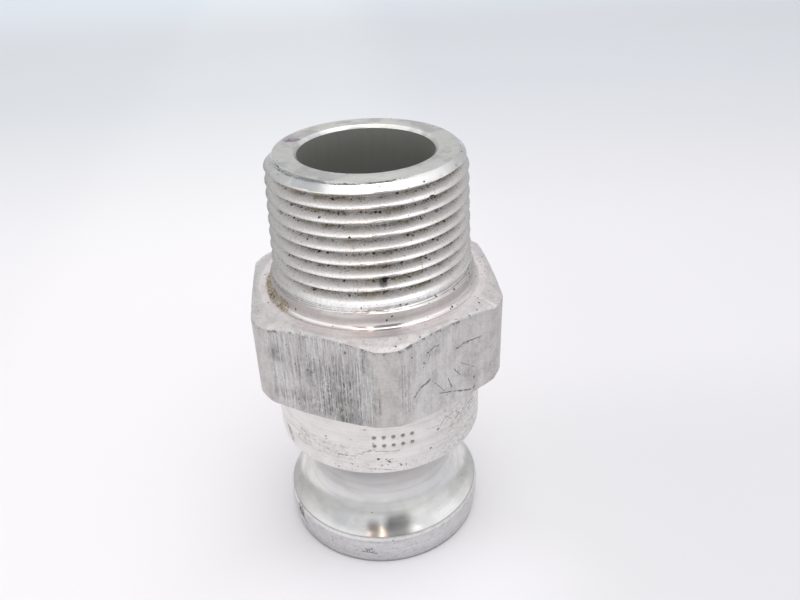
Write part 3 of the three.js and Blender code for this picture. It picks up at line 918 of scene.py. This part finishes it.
def groove_metal():
    """Polished cam groove, duller and painted darker in its upper half, with painted highlight
    streaks near the lip at both sides, painted shade low on the front left, and painted lighter
    towards +X.
    """
    m = Surface("groove_turned", (0.78, 0.775, 0.775), 0.15)
    # The upper half is rougher, and painted darker as shade.
    upper = m.ramp(m.z, 9.5, 15.0)
    m.roughness = m.fused(upper, 0.16, m.roughness)
    m.tint(upper, (0.81, 0.81, 0.805))
    smoky = m.patches(0.25, 0.42, 0.60, 3, 0.6)
    m.tint(m.times(smoky, m.ramp(m.z, 15.0, 9.0), 0.45), (0.82, 0.83, 0.85))
    # Painted shade low on the front left.
    low = m.times(m.ramp(m.z, 6.6, 7.4), m.ramp(m.z, 12.0, 9.5))
    m.tint(m.times(low, m.ramp(m.x, 2.0, -3.0), m.ramp(m.y, -7.0, -12.0)), (0.82, 0.825, 0.835))
    # Painted light: lighter towards +X.
    m.tint(m.ramp(m.x, 6.0, 12.0), 1.05)
    # Painted highlight streaks just above the lip, at the left and at the right.
    front = m.ramp(m.y, -4.0, -8.0)
    for start, end, top, foot, shade in (
            (-14.5, -11.0, 8.4, 7.2, 1.15), (7.5, 17.0, 8.2, 7.1, 1.16)):
        highlight_streak = m.times(m.band(m.x, start, end, 2.0), front, m.ramp(m.z, top, foot))
        m.tint(highlight_streak, (shade, shade, shade + 0.01))
    m.tint(m.joined([m.ramp(m.x, -9.0, -14.0), m.ramp(m.x, 10.0, 15.0)]), (1.01, 1.0, 0.98))
    m.vary(m.rings(2.0, 0.35, 0.42, 0.68), (0.93, 0.93, 0.925), 0.07, 0.002)
    m.vary(m.patches((0.18, 0.18, 0.4), 0.4, 0.65), (0.93, 0.93, 0.92), 0.05)
    m.peppered(SMUT, (0.6, 0.6, 0.8), 0.08, 0.20, 0.8)
    return m.finish(0.55)


def lip_metal():
    """Satin lip with painted highlights on its bevelled edge and at the top of the taper, painted
    shade in the crease above, in a line under the edge at the front and at the foot, dents and
    dirt.
    """
    m = Surface("lip_satin", (0.69, 0.685, 0.69), 0.28)
    grain = m.patches((2.6, 2.6, 3.4), 0.48, 0.64, 4, 0.8)
    m.vary(grain, (0.87, 0.87, 0.875), 0.10, 0.006)
    # Painted highlight along the top of the taper.
    edge = m.band(m.z, LIP_TAPER_HEIGHT - 0.1, LIP_TAPER_HEIGHT + 0.1, 0.12)
    m.tint(m.times(edge, 0.7), 1.14)
    # Painted shade at the foot, beside the floor.
    m.tint(m.ramp(m.z, 0.9, 0.1), (0.55, 0.55, 0.56))
    # Painted shade in the crease above the edge, then a painted highlight on the bevel under it.
    m.tint(m.times(m.ramp(m.z, LIP_TOP + 0.50, LIP_TOP + 0.66), 0.8), (0.55, 0.55, 0.56))
    m.tint(m.band(m.z, LIP_TOP + 0.05, LIP_TOP + 0.45, 0.08), 1.2)
    # Painted shade: a dark line across the front just under the bevel.
    line = m.band(m.z, LIP_TOP - 0.12, LIP_TOP - 0.06, 0.06)
    m.tint(m.times(line, m.band(m.x, -6.0, 3.0, 1.5)), 0.6)
    m.vary(m.rings(2.2, 0.3, 0.42, 0.68), 0.90, 0.07, 0.005)
    m.vary(m.patches((0.8, 0.8, 1.2), 0.45, 0.66, 4, 0.7), (0.88, 0.88, 0.885), 0.12, 0.003)
    place = m.shaken(m.unrolled(CAM_RADIUS), 0.9, 0.7, 1.4, 0.8)
    marks = m.strokes(place, (
        (-6.0, 3.0, -3.4, 2.7, 0.15), (-21.0, 4.6, -18.8, 3.2, 0.24)))
    chewed = m.times(m.blot(place, (-21.4, 5.2), (2.0, 1.9)), m.patches(1.6, 0.41, 0.50, 4, 0.7))
    dirty = m.times(m.blot(place, (-5.0, 3.4), (2.2, 1.2)), m.patches(2.4, 0.50, 0.58, 4, 0.75))
    m.stain(m.times(m.joined([marks, chewed, dirty]), 0.92), GRIME, 0.6, 0.3)
    m.peppered(SMUT, (0.9, 0.9, 1.1), 0.08, 0.26, 0.6)
    return m.finish(0.4)


MATERIALS = {
    "lip": lip_metal, "groove": groove_metal, "collar": collar_metal,
    "hexagon_end": hexagon_end_metal, "flats": flats_metal, "neck": neck_metal,
    "thread": thread_metal, "chamfer": chamfer_metal, "end_face": end_face_metal,
    "bore": bore_metal,
}
for part_name in MATERIAL_ORDER:
    body.data.materials.append(MATERIALS[part_name]())

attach(body, "root")
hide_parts("adapter_body")


# ---- stage and light ----
FLOOR_GAP = 0.00005  # metres, keeps the floor clear of the gasket face


def flat_grid(name, cells, half):
    """A square grid of `cells` a side that reaches `half` metres each way from its middle."""
    bm = bmesh.new()
    bmesh.ops.create_grid(bm, x_segments=cells, y_segments=cells, size=half)
    mesh = bpy.data.meshes.new(name)
    bm.to_mesh(mesh)
    bm.free()
    return new_object(name, mesh)


def make_floor():
    """A wide pale floor, its tone holding painted light and shade: falloff away from the part, a
    pool of light in front of it and a shadow beside it.
    """
    floor = flat_grid("floor", 8, 3.0)
    floor.location = (AXIS.x, AXIS.y, FLOOR_Z - FLOOR_GAP)
    m = Surface("pale_floor", (0.87, 0.86, 0.88), 0.6)
    m.metalness.default_value = 0.0
    # Painted light and shade: darker behind the part and lighter again far back, darker towards +X
    # and far -X, a painted pool of light in front of the part and a painted shadow to its +X side.
    m.tint(m.ramp(m.y, 90, 330), (0.81, 0.855, 0.875))
    m.tint(m.ramp(m.y, 420, 700), (1.16, 1.19, 1.22))
    m.tint(m.times(m.ramp(m.x, -60, 240), m.ramp(m.y, 330, 170)), (0.92, 0.925, 0.93))
    m.tint(m.blot(m.vector(m.x, m.y), (0, -25), (42, 20)), (1.12, 1.115, 1.13))
    m.tint(m.ramp(m.x, 0, 70), (0.93, 0.93, 0.945))
    m.tint(m.times(m.ramp(m.x, 0, 45), m.ramp(m.y, 45, 0)), (0.92, 0.925, 0.925))
    m.tint(m.ramp(m.x, -80, -120), (0.965, 0.965, 0.975))
    m.vary(m.noise(0.02), 0.99, 0.05, 0.01)
    floor.data.materials.append(m.finish())


def reflector(name, azimuth, elevation, distance, size, glow):
    """A soft-edged card on the camera's side that shows only in the metal's reflections."""
    card = flat_grid(name, 4, 0.5)
    azimuth, elevation = math.radians(azimuth), math.radians(elevation)
    out = Vector((math.cos(azimuth) * math.cos(elevation), math.sin(azimuth) * math.cos(elevation),
                  math.sin(elevation)))
    centre = Vector((AXIS.x, AXIS.y, FLOOR_Z + 0.02))
    face = (-out).to_track_quat("Z", "Y").to_matrix().to_4x4()
    place = Matrix.Translation(centre + out * distance)
    card.matrix_world = place @ face @ Matrix.Diagonal((*size, 1, 1))
    card.visible_camera = card.visible_diffuse = card.visible_shadow = False
    m = Surface(name, glow, 0.7)
    edge = 0.5 / MM  # half the card's own width, before it is stretched
    inside = m.times(m.band(m.x, -0.7 * edge, 0.7 * edge, 0.3 * edge),
                     m.band(m.y, -0.6 * edge, 0.6 * edge, 0.4 * edge))
    light = m.add("ShaderNodeEmission", {"Color": m.colour})
    clear = m.add("ShaderNodeBsdfTransparent")
    mix = m.add("ShaderNodeMixShader", {0: inside, 1: clear.outputs[0], 2: light.outputs[0]})
    m.add("ShaderNodeOutputMaterial", {"Surface": mix.outputs[0]})
    m.material.cycles.emission_sampling = "NONE"
    card.data.materials.append(m.material)


def make_world():
    """Soft studio surroundings: dimmer at the horizon behind, brighter in front and overhead."""
    world = bpy.data.worlds.new("studio")
    world.use_nodes = True
    nodes = Nodes(world.node_tree)
    place = nodes.add("ShaderNodeTexCoord").outputs["Generated"]
    place = nodes.add("ShaderNodeSeparateXYZ", {0: place}).outputs
    ramps = []
    for low, middle in (((0.50, 0.51, 0.52), (0.67, 0.67, 0.675)),
                        ((0.80, 0.80, 0.80), (0.95, 0.95, 0.95))):
        ramp = nodes.add("ShaderNodeValToRGB", {0: place["Z"]})
        stops = ramp.color_ramp.elements
        stops.new(0.5)
        for stop, position, colour in zip(stops, (0.0, 0.45, 0.85), (low, middle, (1.0, 1.0, 1.0))):
            stop.position = position
            stop.color = (*colour, 1)
        ramps.append(ramp.outputs[0])
    toward = nodes.add("ShaderNodeMapRange",
                       {"Value": place["Y"], "From Min": 0.4, "From Max": -0.4})
    mix = nodes.add("ShaderNodeMix", {0: toward.outputs[0], 6: ramps[0], 7: ramps[1]},
                    data_type="RGBA")
    nodes.feed(world.node_tree.nodes["Background"].inputs["Color"], mix.outputs[2])
    bpy.context.scene.world = world


def make_light():
    """One large soft light overhead, and the cards that the polished metal reflects."""
    make_world()
    data = bpy.data.lights.new("overhead", "AREA")
    data.shape = "RECTANGLE"
    data.size, data.size_y = 0.82, 0.37
    data.energy = 1.27
    data.color = (1.0, 0.97, 0.96)
    light = new_object("overhead", data)
    light.location = (0.07, 0.0, 0.62)
    aim = Vector((0.01, 0.0, 0.0)) - light.location
    light.rotation_euler = aim.to_track_quat("-Z", "Y").to_euler()
    reflector("dark_card", -79, 50, 0.35, (0.23, 0.56), (0.20, 0.20, 0.205))
    reflector("grey_card", -112, 56, 0.35, (0.10, 0.40), (0.34, 0.31, 0.29))
    reflector("warm_card", -102, 62, 0.32, (0.022, 0.24), (3.3, 2.6, 2.1))
    reflector("warm_strip", -123, 66, 0.32, (0.018, 0.14), (3.2, 2.4, 1.95))
    bpy.context.scene.view_settings.view_transform = "Standard"


make_floor()
make_light()
